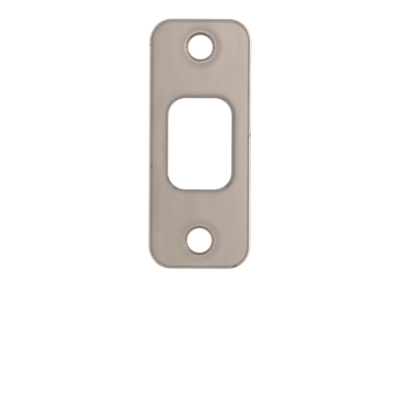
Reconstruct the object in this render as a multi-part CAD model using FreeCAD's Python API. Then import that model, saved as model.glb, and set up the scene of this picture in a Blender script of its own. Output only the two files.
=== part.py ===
import FreeCAD, Part
import math
import os

# A deadbolt strike plate: one piece of sheet steel, blanked, coined and plated.
# It lies on its back face. Its long side runs along Y and its front face looks along +Z.
# The origin is the middle of the back face. Lengths are in millimetres, angles in degrees.

INCH = 25.4
Vector = FreeCAD.Vector
ORIGIN = Vector(0, 0, 0)
Z_AXIS = Vector(0, 0, 1)
FULL_TURN = 360

# The blank
plate_length = 2.75 * INCH
plate_width = 1.125 * INCH
plate_corner_radius = 0.25 * INCH
sheet_thickness = 0.0625 * INCH

# The window that the bolt goes through
window_length = 1.0 * INCH
window_width = 0.6875 * INCH
window_corner_radius = 0.1875 * INCH

# The rolled-off front edge round the outline: a wide arc leans off the face, and a
# tighter nose turns on into the side wall, which stays upright up to its own height
outline_lean = 8.5
outline_lean_radius = 3.6
outline_wall_height = 0.4

# The same roll where the face turns down into the window
window_lean = 33.0
window_lean_radius = 2.0
window_wall_height = 0.9

# The two fixing holes, on the plate's long middle line, each set in from its end. The
# wall under the cone keeps a least height, so a big head opens the hole wider
hole_end_distance = 0.3125 * INCH
hole_diameter = 6.75
hole_wall_least = 0.3

# Their coined seats: the punch drags the face down into a wide soft shoulder, flattens
# a narrow rim and opens the cone that takes a flat countersunk head
head_diameter = 8.0
head_clearance = 0.1
head_cone_angle = 82.0
rim_width = 0.25
rim_lip_radius = 0.15
shoulder_slope = 2.0
shoulder_slope_width = 1.25
shoulder_crest_radius = 5.0
shoulder_foot_radius = 3.0

# The fine break on the sharp edges of the back
back_edge_break = 0.12

# How far the cutting shapes stand out past the sheet
overrun = 1.0

# What follows from the sizes above
hole_spacing = plate_length - 2 * hole_end_distance
front = sheet_thickness
wall_lean = 90.0


def rounded_outline(width, length, radius):
    """A closed wire at z = 0 round the origin: four straight sides, each followed by its corner arc."""
    corners = []
    for quarter, (side_x, side_y) in enumerate([(1, 1), (-1, 1), (-1, -1), (1, -1)]):
        centre = Vector(side_x * (width / 2 - radius), side_y * (length / 2 - radius), 0)
        circle = Part.Circle(centre, Z_AXIS, radius)
        begins = quarter * math.pi / 2
        corners.append(Part.ArcOfCircle(circle, begins, begins + math.pi / 2))
    curves = []
    for before, corner in zip([corners[-1]] + corners, corners):
        curves.append(Part.LineSegment(before.EndPoint, corner.StartPoint))
        curves.append(corner)
    return Part.Wire([curve.toShape() for curve in curves])


def leaning_point(start, radius, lean_from, lean_to):
    """Where an arc of the XZ plane gets to when its lean below level changes from one angle to the other.
    It heads along +X. A radius above zero bends down, and one below zero bends back up."""
    along = math.sin(math.radians(lean_to)) - math.sin(math.radians(lean_from))
    up = math.cos(math.radians(lean_to)) - math.cos(math.radians(lean_from))
    return start + Vector(radius * along, 0, radius * up)


def leaning_arc(start, radius, lean_from, lean_to):
    """The arc itself, through the point at the middle lean."""
    middle = leaning_point(start, radius, lean_from, (lean_from + lean_to) / 2)
    return Part.Arc(start, middle, leaning_point(start, radius, lean_from, lean_to))


def leaning_line(start, reach, lean):
    """A straight line of the XZ plane that goes so far along +X while it falls at its lean."""
    return Part.LineSegment(start, start + Vector(reach, 0, -reach * math.tan(math.radians(lean))))


def closed_section(curves, corners):
    """A closed wire: tangent curves end to end, then straight lines through the corners and back."""
    points = [curves[-1].EndPoint] + corners + [curves[0].StartPoint]
    lines = [Part.LineSegment(a, b) for a, b in zip(points, points[1:])]
    return Part.Wire([curve.toShape() for curve in curves + lines])


def roll_section(lean, lean_radius, wall_height):
    """What a rolled edge takes off the sheet, in the XZ plane, with the side wall at x = 0. The nose has the one
    radius that falls from the end of the lean to the top of the wall."""
    lean_fall = lean_radius * (1 - math.cos(math.radians(lean)))
    nose_radius = (front - lean_fall - wall_height) / math.cos(math.radians(lean))
    reach = lean_radius * math.sin(math.radians(lean))
    reach += nose_radius * (1 - math.sin(math.radians(lean)))
    lean_off = leaning_arc(Vector(-reach, 0, front), lean_radius, 0, lean)
    nose = leaning_arc(lean_off.EndPoint, nose_radius, lean, wall_lean)
    outside = [
        Vector(overrun, 0, wall_height),
        Vector(overrun, 0, front + overrun),
        Vector(-reach, 0, front + overrun),
    ]
    return closed_section([lean_off, nose], outside)


def carried_round(section, outline):
    """The section carried round a closed outline as a solid ring, from the outline's first point."""
    placed = section.copy()
    start = outline.Edges[0].firstVertex(True).Point
    placed.translate(start)
    return outline.makePipeShell([placed], True, False)


def blank():
    """The sheet cut to its outline, full thickness and sharp all round."""
    outline = rounded_outline(plate_width, plate_length, plate_corner_radius)
    return Part.Face(outline).extrude(Z_AXIS * sheet_thickness)


def outline_roll():
    """The ring of metal that the roll takes off round the outline."""
    outline = rounded_outline(plate_width, plate_length, plate_corner_radius)
    section = roll_section(outline_lean, outline_lean_radius, outline_wall_height)
    return carried_round(section, outline)


def window():
    """The window's prism, and the ring that the roll takes off round it, which leans the other way."""
    outline = rounded_outline(window_width, window_length, window_corner_radius)
    prism = Part.Face(outline).extrude(Z_AXIS * (sheet_thickness + 2 * overrun))
    prism.translate(Z_AXIS * -overrun)
    section = roll_section(window_lean, window_lean_radius, window_wall_height)
    leaning_in = section.mirror(ORIGIN, Vector(1, 0, 0))
    return [prism, carried_round(leaning_in, outline)]


def fixing_seat():
    """The hole and its coined seat as one turned shape about Z, from the soft shoulder to the back."""
    hole_radius = hole_diameter / 2
    cone_lean = wall_lean - head_cone_angle / 2
    lip_reach = rim_lip_radius * math.tan(math.radians(cone_lean / 2))
    bends_reach = shoulder_crest_radius + shoulder_foot_radius
    bends_reach *= math.sin(math.radians(shoulder_slope))
    rim_radius = head_diameter / 2 + head_clearance + lip_reach + rim_width
    shoulder_radius = rim_radius + shoulder_slope_width + bends_reach

    crest = leaning_arc(Vector(-shoulder_radius, 0, front), shoulder_crest_radius, 0, shoulder_slope)
    slope = leaning_line(crest.EndPoint, shoulder_slope_width, shoulder_slope)
    foot = leaning_arc(slope.EndPoint, -shoulder_foot_radius, shoulder_slope, 0)
    rim = leaning_line(foot.EndPoint, rim_width, 0)
    lip = leaning_arc(rim.EndPoint, rim_lip_radius, 0, cone_lean)
    deepest_reach = (lip.EndPoint.z - hole_wall_least) / math.tan(math.radians(cone_lean))
    cone_reach = min(-hole_radius - lip.EndPoint.x, deepest_reach)
    cone = leaning_line(lip.EndPoint, cone_reach, cone_lean)
    inside = [
        Vector(cone.EndPoint.x, 0, -overrun),
        Vector(0, 0, -overrun),
        Vector(0, 0, front + overrun),
        Vector(-shoulder_radius, 0, front + overrun),
    ]
    section = closed_section([crest, slope, foot, rim, lip, cone], inside)
    return Part.Face(section).revolve(ORIGIN, Z_AXIS, FULL_TURN)


def fixing_seats():
    """One seat at each end of the hole spacing."""
    seats = []
    for end in (-1, 1):
        seat = fixing_seat()
        seat.translate(Vector(0, end * hole_spacing / 2, 0))
        seats.append(seat)
    return seats


def broken_back(plate):
    """The plate with the edges that lie in its back face lightly broken."""
    sharp = [edge for edge in plate.Edges if edge.BoundBox.ZMax < back_edge_break / 2]
    return plate.makeChamfer(back_edge_break, sharp)


def strike_plate():
    """The whole plate: the blank, less the rolls, the window and the fixing seats."""
    return broken_back(blank().cut([outline_roll()] + window() + fixing_seats()))


os.makedirs("parts", exist_ok=True)
plate = strike_plate()
plate.exportStep("parts/strike_plate.step")

box = plate.optimalBoundingBox(True, False)
print(f"strike_plate is {box.XLength:.3f} x {box.YLength:.3f} x {box.ZLength:.3f} mm")
print(f"It has {len(plate.Solids)} solid of {len(plate.Faces)} faces and {plate.Volume:.1f} mm3")
print(f"It is valid: {plate.isValid()}")
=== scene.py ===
# %% [markdown]
# # A deadbolt strike plate in satin nickel
#
# The object is one piece of sheet steel. It was blanked to a round-cornered outline, with a
# window for the bolt and two fixing holes, then coined, tumbled smooth and plated. The solid
# model of it gives the sizes. This file makes the surface that is seen: a mesh fine enough to
# carry soft edges without facets, the small nicks of handling, and the plated finish. Then it
# sets a floor, soft light and a camera straight above.

# %% Load the frame
import math

import bpy
import numpy as np
from mathutils.geometry import delaunay_2d_cdt
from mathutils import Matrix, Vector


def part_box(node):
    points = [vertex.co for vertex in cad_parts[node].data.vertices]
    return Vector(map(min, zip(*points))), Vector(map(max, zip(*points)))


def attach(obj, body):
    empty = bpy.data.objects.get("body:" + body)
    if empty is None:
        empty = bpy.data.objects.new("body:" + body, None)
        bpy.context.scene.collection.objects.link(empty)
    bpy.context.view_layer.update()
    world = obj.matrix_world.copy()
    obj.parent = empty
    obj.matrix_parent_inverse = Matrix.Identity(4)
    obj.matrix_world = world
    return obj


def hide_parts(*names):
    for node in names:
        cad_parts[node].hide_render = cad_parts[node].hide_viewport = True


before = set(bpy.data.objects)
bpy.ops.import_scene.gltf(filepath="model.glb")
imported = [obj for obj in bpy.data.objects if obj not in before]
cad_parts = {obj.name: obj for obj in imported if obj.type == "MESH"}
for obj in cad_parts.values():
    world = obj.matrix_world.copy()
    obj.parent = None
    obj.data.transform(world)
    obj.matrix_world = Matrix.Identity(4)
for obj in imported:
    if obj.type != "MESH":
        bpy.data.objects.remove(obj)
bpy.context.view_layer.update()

# %% [markdown]
# ## Sizes
#
# The outer sizes are read from the solid, so that the surface can't drift from it. The window,
# the rolled edges and the seats don't show in the outer box, so they are written here once
# more. Everything is worked out in millimetres and becomes metres only when the mesh is made,
# which keeps the numbers easy to hold against a real plate.

# %% Sizes in millimetres
MM = 0.001
INCH = 25.4

node_low, node_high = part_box("strike_plate")
plate_width, plate_length, front = (node_high - node_low) / MM
corner_radius = 0.25 * INCH

window_width = 0.6875 * INCH
window_length = 1.0 * INCH
window_radius = 0.1875 * INCH

hole_end_distance = 0.3125 * INCH
hole_y = plate_length / 2 - hole_end_distance
hole_radius = 6.75 / 2

back_break = 0.12

print(f"plate {plate_width:.3f} x {plate_length:.3f} x {front:.4f} mm, holes at y = +-{hole_y:.4f}")

# %% [markdown]
# ## The section of a rolled edge
#
# The front edge of the real plate is no sharp corner with one small radius. The die drags the
# face down a few hundredths of a millimetre well before the edge, then the face leans off, and
# last a round nose turns it down into the side wall. A Bevel modifier gives one radius all
# round, so the section is written out instead, bend by bend.
#
# What changes along it is the lean, the angle of the surface below level. While the lean grows
# on a radius r, the section moves outwards by r times the change of its sine, and upwards by r
# times the change of its cosine, which is downwards. Each bend starts at the lean where the one
# before it ends, so they join without a kink.

# %% Bends and straight stretches
UPRIGHT = 90
BEND_STEPS, NOSE_STEPS, WALL_STEPS = 32, 14, 6


def bend(start, radius, lean_from, lean_to, steps):
    """An arc without its start: out = start + r (sin lean - sin first), up = start + r (cos lean - cos first).
    A radius above zero bends down, and one below zero bends back up."""
    lean = np.radians(np.linspace(lean_from, lean_to, steps + 1))
    out = start[0] + radius * (np.sin(lean) - np.sin(lean[0]))
    up = start[1] + radius * (np.cos(lean) - np.cos(lean[0]))
    return np.column_stack([out, up])[1:]


def straight(start, end, steps):
    """Points evenly along a line, without its start: start + share (end - start)."""
    share = np.linspace(0, 1, steps + 1)[1:, None]
    return np.asarray(start) + share * (np.asarray(end) - np.asarray(start))


def down_to_the_back(start):
    """The side wall at out = 0, and the fine break on the edge of the back."""
    wall = straight(start, (0, back_break), WALL_STEPS)
    broken = straight((0, back_break), (-back_break, 0), 1)
    return np.vstack([wall, broken])


def rolled_edge(sag, lean, wall_height):
    """Two lines of (out, up). The first goes from the face over the sag and the lean, each given as its radius and
    the angle it ends at. The second goes over the nose to the back. The nose has the one radius that falls from
    there to the top of the wall: (height left) / cos lean. The side wall is at out = 0."""
    leaning = np.array([(0.0, front)])
    for (radius, to), since in zip([sag, lean], [0.0, sag[1]]):
        leaning = np.vstack([leaning, bend(leaning[-1], radius, since, to, BEND_STEPS)])
    nose_radius = (leaning[-1, 1] - wall_height) / math.cos(math.radians(lean[1]))
    nose = bend(leaning[-1], nose_radius, lean[1], UPRIGHT, NOSE_STEPS)
    reach = (nose[-1, 0], 0)
    return leaning - reach, np.vstack([leaning[-1] - reach, nose - reach, down_to_the_back((0, wall_height))])


outline_lean, outline_edge = rolled_edge(sag=(70.0, 1.5), lean=(3.6, 8.5), wall_height=0.4)
window_lean, window_edge = rolled_edge(sag=(40.0, 0.5), lean=(2.0, 33.0), wall_height=0.9)
for name, leaning in [("outline", outline_lean), ("window", window_lean)]:
    reach, fall = -leaning[0, 0], front - leaning[-1, 1]
    print(f"{name}: the roll starts {reach:.2f} mm before the edge and falls {fall:.2f} mm to the nose")

# %% [markdown]
# ## The section of a seat
#
# The seats round the fixing holes are pressed, not drilled. The punch drags the face down into
# a soft shoulder, leaves a narrow flat rim and opens a cone, and the hole goes on straight to
# the back. The same bends draw it: a wide crest, a short slope, a tighter foot that levels out
# again, the rim, a small lip and the cone. Turned about the hole's axis, this line is the seat.

# %% The seat's section
RIM_STEPS, LIP_STEPS, CONE_STEPS = 2, 6, 8


def seat(cone_mouth, cone_angle, rim_width, lip_radius, slope, slope_width, crest_radius, foot_radius):
    """Two lines of (out, up): the shoulder, and the edge from the rim over lip, cone and hole to the back. The
    hole's wall is at out = 0. The straight slope takes the place of one step of the foot, so that the shoulder
    still has twice the steps of a bend."""
    cone_lean = UPRIGHT - cone_angle / 2
    lip_reach = lip_radius * math.tan(math.radians(cone_lean / 2))
    shoulder_reach = (crest_radius + foot_radius) * math.sin(math.radians(slope)) + slope_width
    start = (hole_radius - cone_mouth / 2 - lip_reach - rim_width - shoulder_reach, front)
    crest = bend(start, crest_radius, 0, slope, BEND_STEPS)
    fallen = crest[-1] + (slope_width, -slope_width * math.tan(math.radians(slope)))
    shoulder = np.vstack([start, crest, fallen, bend(fallen, -foot_radius, slope, 0, BEND_STEPS - 1)])
    rim = straight(shoulder[-1], shoulder[-1] + (rim_width, 0), RIM_STEPS)
    lip = bend(rim[-1], lip_radius, 0, cone_lean, LIP_STEPS)
    cone_end = (0, lip[-1][1] + lip[-1][0] * math.tan(math.radians(cone_lean)))
    cone = straight(lip[-1], cone_end, CONE_STEPS)
    return shoulder, np.vstack([shoulder[-1], rim, lip, cone, down_to_the_back(cone_end)])


shoulder, seat_edge = seat(
    cone_mouth=8.2, cone_angle=82.0, rim_width=0.25, lip_radius=0.15,
    slope=2.0, slope_width=1.25, crest_radius=5.0, foot_radius=3.0,
)
print(f"shoulder: {2 * (hole_radius - shoulder[0, 0]):.2f} mm across, sinks {front - shoulder[-1, 1]:.3f} mm")

# %% [markdown]
# ## Paths to carry the sections along
#
# The outline and the window are rounded rectangles, and each hole is a circle, which is a
# rounded rectangle without straight sides. So one function walks them all. A corner needs its
# points close together to look round. The straight sides get points too, about as close, so
# that a small nick anywhere on an edge has enough mesh to show.

# %% A walk round a rounded rectangle
def facing(angle):
    """The direction (cos, sin) of each angle."""
    return np.column_stack([np.cos(angle), np.sin(angle)])


def walk(width, length, radius, corner_steps, side_step=0.15, centre=(0, 0)):
    """Points and outward directions, anticlockwise, the first not repeated. A corner is its centre + radius
    (cos, sin). A side runs evenly from there to the next corner."""
    points, outward = [], []
    for quarter, (side_x, side_y) in enumerate([(1, 1), (-1, 1), (-1, -1), (1, -1)]):
        corner = np.array([side_x * (width / 2 - radius), side_y * (length / 2 - radius)])
        turn = facing((quarter + np.arange(corner_steps) / corner_steps) * np.pi / 2)
        level = facing(np.array([quarter + 1]) * np.pi / 2)
        side = (length if quarter % 2 else width) - 2 * radius
        count = math.ceil(side / side_step)
        share = np.arange(count)[:, None] / max(count, 1) * side
        along = level[:, ::-1] * (-1, 1)
        points += [corner + radius * turn, corner + radius * level + share * along]
        outward += [turn, np.repeat(level, count, axis=0)]
    return np.vstack(points) + centre, np.vstack(outward)


outline_shape = dict(width=plate_width, length=plate_length, radius=corner_radius)
window_shape = dict(width=window_width, length=window_length, radius=window_radius)
hole_shapes = [
    dict(width=2 * hole_radius, length=2 * hole_radius, radius=hole_radius, centre=(0, end * hole_y))
    for end in (1, -1)
]
outline_walk = walk(**outline_shape, corner_steps=64)
window_walk = walk(**window_shape, corner_steps=48)
hole_walks = [walk(**shape, corner_steps=44) for shape in hole_shapes]
counts = [len(points) for points, outward in (outline_walk, window_walk, hole_walks[0])]
print("points round the outline, the window and a hole:", counts)

# %% [markdown]
# ## Bands of surface
#
# A section carried along a path gives a band: one row of points for each point of the section,
# one column for each point of the path. Round the outline the section's "out" points away from
# the middle. Round the window and the holes it points the other way, into the opening. That
# also turns the faces round, so their corners are listed in the other order to keep them
# looking out of the metal.

# %% Carry a section along a path
OUTWARDS, INTO_OPENING = 1, -1


def band(line, path, way):
    """A grid of (x, y, z): the path's point + out times its outward direction, at the section's height."""
    points, outward = path
    flat = points + way * line[:, 0, None, None] * outward
    up = np.broadcast_to(line[:, 1, None, None], flat.shape[:2] + (1,))
    return np.concatenate([flat, up], axis=2)


def quads(rows, columns, first, way):
    """The four corners of each face of a band that closes on itself, counted from its first point."""
    index = first + np.arange(rows * columns).reshape(rows, columns)
    inner, outer = index[:-1], index[1:]
    around = [inner, outer, np.roll(outer, -1, axis=1), np.roll(inner, -1, axis=1)]
    return np.stack(around[::way], axis=-1).reshape(-1, 4)


bands = [
    (outline_edge, outline_walk, OUTWARDS),
    (window_edge, window_walk, INTO_OPENING),
    (seat_edge, hole_walks[0], INTO_OPENING),
    (seat_edge, hole_walks[1], INTO_OPENING),
]
grids, faces, top_loops, back_loops = [], [], [], []
made = 0
for edge, path, way in bands:
    rows, columns = len(edge), len(path[0])
    grids.append(band(edge, path, way).reshape(-1, 3))
    faces += quads(rows, columns, made, way).tolist()
    top_loops.append(made + np.arange(columns))
    back_loops.append(made + (rows - 1) * columns + np.arange(columns))
    made += rows * columns
band_points = np.vstack(grids)
print(f"{len(bands)} bands, {len(band_points)} points, {len(faces)} four-sided faces")

# %% [markdown]
# ## The height of the face
#
# Between the bands, the face is a landscape: level, with the wide leans going down to the noses
# and the two soft shoulders going down to the rims. Near the plate's ends a shoulder runs into
# the outline's lean. In the pressed metal such dips add up without a crease, so the height is
# the front less the sum of the drops.

# %% Distances and drops
def beyond(flat, width, length, radius, centre=(0, 0)):
    """How far points lie outside a rounded rectangle: the length of (|x| - half side + radius), at least 0, less
    the radius. It is below zero inside."""
    past = np.abs(flat - np.asarray(centre)) - (np.array([width, length]) / 2 - radius)
    return np.hypot(*np.maximum(past, 0).T) + np.minimum(past.max(axis=1), 0) - radius


def drop(out, line):
    """How far a section lies below the front at each out. There is no drop before its start."""
    return front - np.interp(out, *line.T)


def face_height(flat):
    """The front less the drops of the outline's lean, the window's lean and both shoulders."""
    drops = drop(beyond(flat, **outline_shape), outline_lean)
    drops += drop(-beyond(flat, **window_shape), window_lean)
    drops += sum(drop(-beyond(flat, **shape), shoulder) for shape in hole_shapes)
    return front - drops


middle_of_strip = np.array([[plate_width / 4 + window_width / 4, 0.0]])
print("height midway between window and side:", face_height(middle_of_strip).round(4), "of", round(front, 4))

# %% [markdown]
# ## Points of the face
#
# The leans and the shoulders get rows of points that follow them, because a curved surface
# looks even only where its mesh runs along the curve. A seat's rows end where the outline's own
# rows begin. The level part gets a plain field of points, which stops short of all the rows and
# carries the soft waves of a stamped sheet.

# %% Rows on the slopes and a field between them
ROW_EVERY = 8
lean_margin = 0.05
field_spacing, field_clearance = 0.45, 0.3


def rows_on(line, path, way):
    """Every eighth point of a section, without its last, carried along the path and seen from above."""
    return band(line[:-1:ROW_EVERY], path, way)[..., :2].reshape(-1, 2)


slopes = [rows_on(outline_lean, outline_walk, OUTWARDS), rows_on(window_lean, window_walk, INTO_OPENING)]
for path in hole_walks:
    round_seat = rows_on(shoulder, path, INTO_OPENING)
    in_the_lean = beyond(round_seat, **outline_shape) > outline_lean[0, 0] - lean_margin
    slopes.append(round_seat[~in_the_lean])

across, along = (
    np.arange(-side / 2, side / 2, field_spacing) + field_spacing / 2 for side in (plate_width, plate_length)
)
field = np.stack(np.meshgrid(across, along), axis=-1).reshape(-1, 2)
gaps = [outline_lean[0, 0] - beyond(field, **outline_shape), window_lean[0, 0] + beyond(field, **window_shape)]
gaps += [shoulder[0, 0] + beyond(field, **shape) for shape in hole_shapes]
inner = np.vstack(slopes + [field[np.min(gaps, axis=0) > field_clearance]])
points = np.vstack([band_points, np.column_stack([inner, face_height(inner)])])
print(f"{len(inner)} points on the face, {len(points)} in all")

# %% [markdown]
# ## Close the face and the back
#
# A constrained Delaunay triangulation joins the points of a region with well-shaped triangles
# and keeps every edge of the bands, so the seams are closed and no point is doubled. The back
# is level and has no points but its edges.

# %% Fill between the loops
WHOLE_HULL = 0
SAME_PLACE = 1e-6


def filled(loops, extra):
    """Triangles between the first loop and the others, through the extra points. A triangle with all three
    corners on the same opening fills that opening, and is left out."""
    ours = np.concatenate(loops + [extra])
    starts = np.cumsum([0] + [len(loop) for loop in loops])
    own_loops = [np.arange(a, b) for a, b in zip(starts, starts[1:])]
    edges = np.vstack([np.column_stack([loop, np.roll(loop, -1)]) for loop in own_loops])
    flat = points[ours, :2].tolist()
    triangles = np.array(delaunay_2d_cdt(flat, edges.tolist(), [], WHOLE_HULL, SAME_PLACE)[2])
    opening = np.zeros(len(ours), int)
    for number, loop in enumerate(own_loops[1:], 1):
        opening[loop] = number
    corner = opening[triangles]
    in_opening = (corner[:, 0] > 0) & (corner == corner[:, :1]).all(axis=1)
    return ours[triangles[~in_opening]]


points_of_the_face = np.arange(len(band_points), len(points))
no_points = np.arange(0)
top_faces = filled(top_loops, points_of_the_face)
back_faces = filled(back_loops, no_points)[:, ::-1]
faces += top_faces.tolist() + back_faces.tolist()
print(f"{len(top_faces)} triangles on the face and {len(back_faces)} on the back")

# %% [markdown]
# ## Waves and nicks
#
# A stamped sheet is never quite flat. A few long waves, thousandths of a millimetre high, give
# the reflections on it their slow drift. Handling adds small nicks, most of them along the
# edges, and the material paints them darker. Both only take metal away from the even shape, so
# that the plate stays inside its solid. The waves fade out down the edges, where the lean is
# strong enough to drown them, and are gone where the wall of the window begins.
#
# Sculpting would do, but a list of nicks can be read and changed. Each is a short groove round
# a line: where it is, which way it runs, its length, radius and depth, and how dark it is
# painted. How near each point of the mesh is to a groove sets how far it sinks, and also how
# dark it is painted, which is kept with the mesh for the material to read.

# %% Lower the surface
waves = [
    # height in mm, length in mm, direction in degrees, phase in degrees
    (0.0030, 31.0, 12.0, 40.0),
    (0.0022, 17.0, 78.0, 160.0),
    (0.0016, 9.5, 133.0, 15.0),
    (0.0010, 6.1, 51.0, 260.0),
]
nicks = [
    # middle x, y, z in mm, direction in degrees, length, radius and depth in mm, darkening from 0 to 1
    (-13.48, -6.22, 1.53, 90, 0.45, 0.20, 0.080, 0.45),
    (14.11, 2.42, 1.03, 90, 0.60, 0.24, 0.100, 0.80),
    (-13.90, 28.90, 1.28, 88, 0.40, 0.20, 0.070, 0.60),
    (-13.90, 27.60, 1.28, 90, 0.45, 0.20, 0.070, 0.60),
    (7.98, -11.38, 1.42, 49, 1.70, 0.24, 0.060, 0.35),
    (7.70, -11.66, 1.42, 47, 0.30, 0.18, 0.060, 0.45),
    (9.85, -34.19, 1.26, 26, 1.00, 0.25, 0.090, 0.92),
    (-8.60, -10.26, 1.42, 117, 1.20, 0.22, 0.040, 0.35),
    (-6.79, -12.35, 1.42, 147, 0.90, 0.22, 0.040, 0.35),
    (0.32, 15.80, 1.58, 86, 0.90, 0.30, 0.012, 0.05),
]
waves_end = 0.9
edge_zone = 1.2


def wave_drop(flat):
    """The sum of height (1 + sin(2 pi s / length + phase)) / 2, where s is how far a point lies along the wave."""
    height, length, direction, phase = np.array(waves).T
    along = flat @ facing(np.radians(direction)).T
    swing = np.sin(2 * np.pi * along / length + np.radians(phase))
    return (height * (1 + swing) / 2).sum(axis=1)


def nick_share(points):
    """How much of each nick's depth every point takes: exp(-(distance / radius)^2) from the nick's line, which is
    level and runs half its length each way."""
    x, y, z, direction, length, radius = np.array(nicks).T[:6]
    towards = facing(np.radians(direction))
    offset = points[:, None] - np.column_stack([x, y, z])
    along = np.clip((offset[..., :2] * towards).sum(axis=2), -length / 2, length / 2)
    offset[..., :2] -= along[..., None] * towards
    return np.exp(-((np.linalg.norm(offset, axis=2) / radius) ** 2))


def into_the_metal(points):
    """Unit directions into the sheet: straight down on the face, and half inwards within 1.2 mm of the outline."""
    near_edge = np.abs(points[:, :2]) > (plate_width / 2 - edge_zone, plate_length / 2 - edge_zone)
    inwards = -points[:, :2] * near_edge
    length = np.linalg.norm(inwards, axis=1, keepdims=True)
    level = np.divide(inwards, length, out=np.zeros_like(inwards), where=length > 0)
    direction = np.column_stack([level, np.full(len(points), -1.0)])
    return direction / np.linalg.norm(direction, axis=1, keepdims=True)


nick_depth, nick_darkening = np.array(nicks).T[6:]
share = nick_share(points)
# How dark each point is painted, from the nicks near it.
nick_darkening_share = 1 - np.prod(1 - nick_darkening * share, axis=1)
on_the_face = np.clip((points[:, 2] - waves_end) / (front - waves_end), 0, 1)
points[:, 2] -= wave_drop(points[:, :2]) * on_the_face
points += (share @ nick_depth)[:, None] * into_the_metal(points)
print(f"waves lower the face by up to {wave_drop(points[:, :2]).max():.4f} mm, {len(nicks)} nicks")

# %% [markdown]
# ## The mesh
#
# Everything is smooth except where the cone meets the hole and where the edges of the back are
# broken. Those stay crisp on the real plate, so edges that turn by more than 35 degrees are
# marked sharp. The rest shades as one surface.

# %% Make the plate
crisp_turn = 35

mesh = bpy.data.meshes.new("plated_strike")
mesh.from_pydata((points * MM).tolist(), [], faces)
mesh.validate()
mesh.shade_smooth()
mesh.set_sharp_from_angle(angle=math.radians(crisp_turn))
mesh.attributes.new("nick_darkening_share", "FLOAT", "POINT").data.foreach_set("value", nick_darkening_share)
plate = bpy.data.objects.new("plated_strike", mesh)
bpy.context.scene.collection.objects.link(plate)
mesh.calc_loop_triangles()
print(f"the plate has {len(mesh.vertices)} vertices and {len(mesh.loop_triangles)} triangles")

# %% [markdown]
# ## Satin nickel
#
# Satin nickel is a warm grey metal, a little yellow and a little pink. The satin comes from
# fine abrasion before plating: short shallow lines along the plate, too fine to count, which
# spread each reflection softly. So the material has a metal shader of middling roughness, and
# a stretched noise that moves its roughness and its height a little.
#
# Every pattern reads the object's own coordinates, turned into millimetres, so a scale in the
# nodes is a count of features for each millimetre.

# %% Small helpers for nodes
def new_material(name):
    """A material with nodes, its tree, and its Principled shader."""
    material = bpy.data.materials.new(name)
    material.use_nodes = True
    return material, material.node_tree, material.node_tree.nodes["Principled BSDF"]


def feed(tree, socket, value):
    """Link a socket to another node's output, or set it to a plain value. None leaves it as it is."""
    if isinstance(value, bpy.types.NodeSocket):
        tree.links.new(value, socket)
    elif value is not None:
        socket.default_value = value


def add(tree, kind, *inputs, output=0, **settings):
    """A node with its settings made and its first inputs fed. Gives the output socket that is asked for."""
    node = tree.nodes.new(kind)
    for name, value in settings.items():
        setattr(node, name, value)
    for socket, value in zip(node.inputs, inputs):
        feed(tree, socket, value)
    return node.outputs[output]


def maths(tree, operation, *inputs):
    """One Math node."""
    return add(tree, "ShaderNodeMath", *inputs, operation=operation)


def weighted(tree, *parts):
    """The sum of values, each times its own weight."""
    total = 0.0
    for value, weight in parts:
        total = maths(tree, "MULTIPLY_ADD", value, weight, total)
    return total


def vector(tree, operation, *inputs, output=0):
    """One Vector Math node."""
    return add(tree, "ShaderNodeVectorMath", *inputs, operation=operation, output=output)


def remap(tree, value, low, high, to_low=0.0, to_high=1.0):
    """A value from low to high becomes one from to_low to to_high, smoothly and without leaving them."""
    return add(tree, "ShaderNodeMapRange", value, low, high, to_low, to_high, interpolation_type="SMOOTHSTEP")


def pattern(tree, millimetres, counts, detail=2.0, roughness=0.5):
    """Noise from 0 to 1 with so many features for each millimetre along x, y and z."""
    stretched = vector(tree, "MULTIPLY", millimetres, counts)
    return add(tree, "ShaderNodeTexNoise", stretched, None, 1.0, detail, roughness, noise_dimensions="3D")


satin, tree, shader = new_material("satin_nickel_finish")
coordinates = tree.nodes.new("ShaderNodeTexCoord")
millimetres = vector(tree, "MULTIPLY", coordinates.outputs["Object"], (1 / MM,) * 3)
print("satin nickel starts from", shader.name)

# %% [markdown]
# ## Where the finish changes
#
# Four places differ from the flat face. The noses of the rolled edges are burnished by
# tumbling. Those that run across the plate, at its ends, are painted darker, which is painted
# shade. The side walls were sheared, which leaves upright tear marks under a dull plating, and
# their colour is darker still, painted shade where the plate stands on the floor. The back never
# meets the polishing belt. The direction that the surface faces tells them apart: its z part is 1
# on the face, 0 on the walls and -1 on the back, and its y part is large only on edges that run
# across the plate. So no masks need painting. One more mask, of everything except the back, is
# for the next step.

# %% Masks from the facing direction
Y, Z = 1, 2
level = add(tree, "ShaderNodeSeparateXYZ", coordinates.outputs["Normal"], output=Z)
endwise = maths(tree, "ABSOLUTE", add(tree, "ShaderNodeSeparateXYZ", coordinates.outputs["Normal"], output=Y))
nose = maths(tree, "MULTIPLY", remap(tree, level, 0.98, 0.75), remap(tree, level, 0.05, 0.35))
wall = remap(tree, maths(tree, "ABSOLUTE", level), 0.25, 0.08)
back = remap(tree, level, -0.8, -0.95)
# The noses and walls that face the ends of the plate. The colour paints them darker: painted shade.
shade_at_the_ends = remap(tree, endwise, 0.35, 0.8)
in_front = remap(tree, level, -0.4, -0.1)
print("the masks from the direction bring it to", len(tree.nodes), "nodes")

# %% [markdown]
# ## Where the finish and the painted light change round the openings
#
# Round the punched openings the distance decides. For a millimetre or two round the window and
# the seats the metal is a little rougher, and its colour a little darker: painted shade that
# stands for the shade on the slopes down to them. The cones are painted dark, which is painted
# shade, and the narrow rims a little lighter and smoother, which is a painted highlight.
#
# The distance outside the window is the one that shaped the mesh, now built from nodes. Both
# holes are covered at once by taking y without its sign. All this stops short of the back, which
# the punch left flat.

# %% Masks from the distance to the openings
LENGTH_OUT = 1

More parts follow.
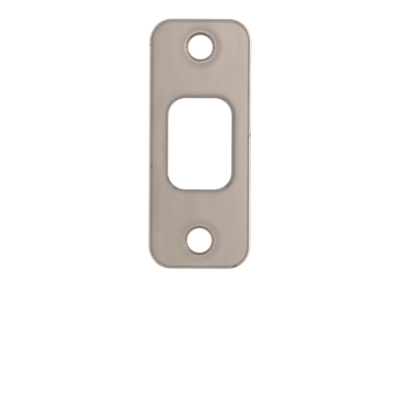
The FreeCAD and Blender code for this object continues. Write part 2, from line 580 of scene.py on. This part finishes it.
unsigned = vector(tree, "MULTIPLY", vector(tree, "ABSOLUTE", millimetres), (1, 1, 0))
straights = (window_width / 2 - window_radius, window_length / 2 - window_radius, 0)
past = vector(tree, "MAXIMUM", vector(tree, "SUBTRACT", unsigned, straights), (0, 0, 0))
from_window = maths(tree, "SUBTRACT", vector(tree, "LENGTH", past, output=LENGTH_OUT), window_radius)
from_axis = vector(tree, "LENGTH", vector(tree, "SUBTRACT", unsigned, (0, hole_y, 0)), output=LENGTH_OUT)


def ring(tree, distance, outer, inner=None):
    """A mask on the front side that is 1 between two slopes of a distance in mm. Each slope is given as where the
    mask is 0 and where it is 1. Without an inner slope it stays 1 all the way in."""
    mask = maths(tree, "MULTIPLY", remap(tree, distance, *outer), in_front)
    return maths(tree, "MULTIPLY", mask, remap(tree, distance, *inner)) if inner else mask


round_window = ring(tree, from_window, outer=(2.3, 0.9), inner=(0.2, 0.8))
round_seat = ring(tree, from_axis, outer=(6.8, 4.9), inner=(4.2, 4.7))
# A little rougher round the openings, and darker in colour there: painted shade.
shade_and_roughness_round_openings = maths(tree, "MAXIMUM", round_window, round_seat)
# The narrow rims are painted lighter, a painted highlight, and are smoother.
rim_highlight_and_smoothness = ring(tree, from_axis, outer=(4.75, 4.35), inner=(4.0, 4.2))
# The cones are painted dark: painted shade in the recess.
shade_in_cone = ring(tree, from_axis, outer=(4.25, 4.0))
print("the masks from the distance bring it to", len(tree.nodes), "nodes")

# %% [markdown]
# ## Grain, tone and marks
#
# The satin lines are about a tenth of a millimetre apart and eight times as long. A second,
# finer noise is the tooth of the plating itself. A slow cloudiness of a few percent stands for
# uneven polishing, and sparse tiny points for pits in the plating. Slower still, over two or
# three centimetres, the tint drifts as the thickness of the plating does. Noise stretched
# upright is for the tear marks on the walls. How dark each nick is painted comes back from the
# mesh.

# %% Patterns of the finish
lines = pattern(tree, millimetres, (9.0, 1.1, 9.0), detail=3.0, roughness=0.6)
tooth = pattern(tree, millimetres, (16.0, 12.0, 16.0), detail=1.0)
cloud = pattern(tree, millimetres, (0.22, 0.10, 0.22), detail=2.0)
drift = pattern(tree, millimetres, (0.05, 0.035, 0.05), detail=1.0)
tears = pattern(tree, millimetres, (7.0, 7.0, 0.5), detail=2.0, roughness=0.6)
from_pit = add(tree, "ShaderNodeTexVoronoi", millimetres, None, 0.3, feature="F1")
pits = remap(tree, from_pit, 0.035, 0.015)
NUMBER_OUT = 2
# How dark the nicks are painted, read back from the mesh.
nick_darkening_mask = add(tree, "ShaderNodeAttribute", output=NUMBER_OUT, attribute_name="nick_darkening_share")
print("the patterns bring it to", len(tree.nodes), "nodes")

# %% [markdown]
# ## Colour
#
# Metal has no colour apart from its reflection, so the base colour is the tint that nickel
# gives to white light. The cloud and the lines move it between a lighter and a darker nickel,
# and the drift between a pinker and a yellower one. Then the places are mixed in, each by its
# mask. The noses are rubbed thin, which leaves them less warm. The openings have a faint
# painted shade round them. The walls are dull and also carry painted shade, the cross noses and
# the cones are painted darker, which is painted shade, and the rims lighter, which is a painted
# highlight. The pits and the darker paint in the nicks come last, because they are darkest.

# %% Colour of the nickel
nickel_light = (0.683, 0.584, 0.518, 1)
nickel_dark = (0.621, 0.523, 0.457, 1)
pink = (1.0, 0.988, 0.998, 1)
yellow = (0.985, 0.995, 0.973, 1)
rubbed = (0.64, 0.585, 0.55, 1)
pitted = (0.30, 0.26, 0.23, 1)
# The dull colour of the sheared walls, also used as painted shade round the openings, on the end noses and in the
# cones.
dull_and_shade = (0.27, 0.225, 0.19, 1)
# The dark colour painted into the nicks.
nick_dark_colour = (0.07, 0.05, 0.04, 1)


COLOUR_A, COLOUR_B, COLOUR_OUT = 6, 7, 2


def mixed(tree, share, first, second, how="MIX"):
    """A colour that goes from the first to the second as the share goes from 0 to 1."""
    node = tree.nodes.new("ShaderNodeMix")
    node.data_type, node.blend_type = "RGBA", how
    for socket, value in [("Factor", share), (COLOUR_A, first), (COLOUR_B, second)]:
        feed(tree, node.inputs[socket], value)
    return node.outputs[COLOUR_OUT]


tone = weighted(tree, (cloud, 0.7), (lines, 0.3))
tint = mixed(tree, remap(tree, drift, 0.35, 0.65), yellow, pink)
colour = mixed(tree, remap(tree, tone, 0.3, 0.7), nickel_dark, nickel_light)
colour = mixed(tree, 1.0, colour, tint, how="MULTIPLY")
# The walls are dull and also painted darker, painted shade where the plate meets the floor. The end noses get
# painted shade.
dull_walls_and_shade = maths(tree, "MAXIMUM", maths(tree, "MULTIPLY", wall, 0.55), maths(tree, "MULTIPLY", shade_at_the_ends, 0.7))
places = [
    # mask, how much of its colour there is where the mask is 1, colour
    (nose, 0.8, rubbed),
    # painted shade round the openings
    (shade_and_roughness_round_openings, 0.09, dull_and_shade),
    # dull walls with painted shade, and painted shade on the end noses
    (dull_walls_and_shade, 1.0, dull_and_shade),
    # painted highlight on the rims
    (rim_highlight_and_smoothness, 0.2, nickel_light),
    # painted shade in the cones
    (shade_in_cone, 0.5, dull_and_shade),
    (pits, 0.5, pitted),
    # the nicks painted dark
    (nick_darkening_mask, 1.0, nick_dark_colour),
]
for mask, strength, paint in places:
    colour = mixed(tree, maths(tree, "MULTIPLY", mask, strength), colour, paint)
feed(tree, shader.inputs["Base Color"], colour)
shader.inputs["Metallic"].default_value = 1.0
print("the nickel runs from", nickel_dark[:3], "to", nickel_light[:3], "and differs in", len(places), "places")

# %% [markdown]
# ## Roughness and height
#
# The lines change the roughness by a few hundredths. The walls, the back and the metal round
# the openings are rougher than the face, the noses and the rims smoother. Two Bump nodes in a
# row add the height: the grain everywhere, then the tear marks on the walls only. Their
# distances are in metres, a few micrometres.

# %% Roughness and bump
of_the_face = remap(tree, lines, 0.2, 0.8, to_low=0.29, to_high=0.38)
changes = [(wall, 0.10), (back, 0.12), (shade_and_roughness_round_openings, 0.08), (rim_highlight_and_smoothness, -0.06), (nose, -0.05)]
feed(tree, shader.inputs["Roughness"], weighted(tree, (of_the_face, 1.0), *changes))


def bump(tree, height, strength, distance, normal=None):
    """A Bump node on a height from 0 to 1, after another one if its normal is given."""
    node = tree.nodes.new("ShaderNodeBump")
    for name, value in [("Height", height), ("Strength", strength), ("Distance", distance), ("Normal", normal)]:
        feed(tree, node.inputs[name], value)
    return node.outputs[0]


grain_height = weighted(tree, (lines, 0.7), (tooth, 0.3), (pits, -1.0))
grained = bump(tree, grain_height, strength=0.35, distance=8e-6)
torn = bump(tree, tears, strength=maths(tree, "MULTIPLY", wall, 0.7), distance=2.5e-5, normal=grained)
feed(tree, shader.inputs["Normal"], torn)

plate.data.materials.append(satin)
print("satin nickel has", len(tree.nodes), "nodes")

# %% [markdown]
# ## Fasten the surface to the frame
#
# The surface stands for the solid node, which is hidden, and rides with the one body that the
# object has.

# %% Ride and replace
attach(plate, "root")
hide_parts("strike_plate")
print(plate.name, "rides on root, stands for strike_plate and is finished in satin_nickel")

# %% [markdown]
# ## Floor and sweep
#
# The plate lies on white paper that curves up far away on all sides, like a shallow dish. The
# paper is what every view from low down sees behind the plate, and what the edges of the metal
# mirror. To rays that look at it, from the camera or off the metal, it glows a little by
# itself, so that it comes out white without more light on the plate. Its other half is plain
# diffuse white, which takes the plate's shadow.

# %% A dish of white paper
def dish(flat_radius, rise_radius, turn, rings, spokes):
    """A disk that curves up at its rim. Ring t of 0 to 1 lies at radius flat + rise sin(t turn) and at height
    rise (1 - cos(t turn))."""
    turned = np.radians(turn) * np.linspace(0, 1, rings)
    radius = flat_radius + rise_radius * np.sin(turned)
    height = rise_radius * (1 - np.cos(turned))
    around = facing(np.arange(spokes) / spokes * 2 * np.pi)
    rim = np.dstack([radius[:, None, None] * around, np.repeat(height[:, None, None], spokes, axis=1)])
    corners = np.vstack([rim.reshape(-1, 3), [0, 0, 0]])
    centre = len(corners) - 1
    ring = np.arange(spokes)
    fan = np.column_stack([np.full(spokes, centre), ring, np.roll(ring, -1)])
    return corners, fan.tolist() + quads(rings, spokes, 0, OUTWARDS).tolist()


gap_below = 0.02 * MM
paper_mesh = bpy.data.meshes.new("paper")
corners, paper_faces = dish(flat_radius=1.0, rise_radius=0.7, turn=60, rings=24, spokes=96)
paper_mesh.from_pydata((corners - (0, 0, gap_below)).tolist(), [], paper_faces)
paper_mesh.shade_smooth()
paper = bpy.data.objects.new("paper", paper_mesh)
bpy.context.scene.collection.objects.link(paper)

glow = 0.72
paper_white, tree, shader = new_material("white_paper")
shader.inputs["Base Color"].default_value = (0.8, 0.8, 0.8, 1)
shader.inputs["Roughness"].default_value = 0.9
shader.inputs["Specular IOR Level"].default_value = 0.0
shader.inputs["Emission Color"].default_value = (1, 1, 1, 1)
rays = tree.nodes.new("ShaderNodeLightPath").outputs
seen = maths(tree, "MAXIMUM", rays["Is Camera Ray"], rays["Is Glossy Ray"])
seen = maths(tree, "MAXIMUM", seen, rays["Is Transmission Ray"])
feed(tree, shader.inputs["Emission Strength"], maths(tree, "MULTIPLY", seen, glow))
paper.data.materials.append(paper_white)
print(f"the paper is {2 * corners[:, 0].max():.2f} m across and rises {corners[:, 2].max():.2f} m")

# %% [markdown]
# ## Light
#
# Metal shows its surroundings more than its own colour, so the light is planned as what the
# face mirrors. Two soft lamps hang nearly straight above, one over the upper half and one over
# the lower, both off to the right, so the face brightens slowly that way. The sky round them
# is dimmer. The rolled edges lean towards that dimmer sky and so draw the darker band that
# follows the plate's outline. The band is fainter on the right and across the top, so two more
# lamps stand on those sides, so far out that only the edges that lean their way mirror them.

# %% World and lamps
sky_strength = 0.42

scene = bpy.context.scene
world = bpy.data.worlds.new("studio")
world.use_nodes = True
background = world.node_tree.nodes["Background"]
background.inputs["Color"].default_value = (1, 1, 1, 1)
background.inputs["Strength"].default_value = sky_strength
scene.world = world


def soft_lamp(name, size, radiance, place):
    """A round area lamp that faces the plate. Its power is radiance times pi times its area, so that it looks as
    bright as its radiance says, whatever its size."""
    lamp = bpy.data.lights.new(name, "AREA")
    lamp.shape = "DISK"
    lamp.size = size
    lamp.energy = radiance * math.pi * math.pi * (size / 2) ** 2
    holder = bpy.data.objects.new(name, lamp)
    holder.location = place
    x, y, z = place
    holder.rotation_euler = (math.atan2(math.hypot(x, y), z), 0, math.atan2(-y, -x) + math.pi / 2)
    scene.collection.objects.link(holder)
    return holder


lamps = [
    soft_lamp("overhead", size=0.234, radiance=1.334, place=(0.100, 0.105, 0.711)),
    soft_lamp("lower", size=0.302, radiance=0.838, place=(0.080, -0.239, 0.897)),
    soft_lamp("side", size=0.68, radiance=8.37, place=(0.994, 0.239, 0.381)),
    soft_lamp("upper", size=0.36, radiance=1.20, place=(0.000, 0.647, 0.890)),
]
print("the lamps have", *(round(lamp.data.energy, 2) for lamp in lamps), "W")

# %% [markdown]
# ## Camera
#
# The photograph looks straight down, with its middle below the plate's middle, and the plate
# lies turned in it by a third of a degree. A long lens from 60 cm keeps the walls nearly out of
# sight, as there. The plate's scale in the picture gives the width of the view, and the width
# gives the lens.

# %% The camera above
pixels_per_mm = 3.588
picture_side = 400
above_x, above_y = 0.118, -15.697
turn = 0.30
distance = 0.6
view_width = picture_side / pixels_per_mm * MM

camera_data = bpy.data.cameras.new("camera")
camera_data.sensor_width = 36.0
camera_data.lens = camera_data.sensor_width * distance / view_width
camera = bpy.data.objects.new("camera", camera_data)
camera.location = (above_x * MM, above_y * MM, distance + front * MM)
camera.rotation_euler = (0, 0, math.radians(turn))
scene.collection.objects.link(camera)
scene.camera = camera
scene.view_settings.view_transform = "Standard"
print(f"the view is {view_width / MM:.1f} mm wide, through a lens of {camera_data.lens:.1f} mm")
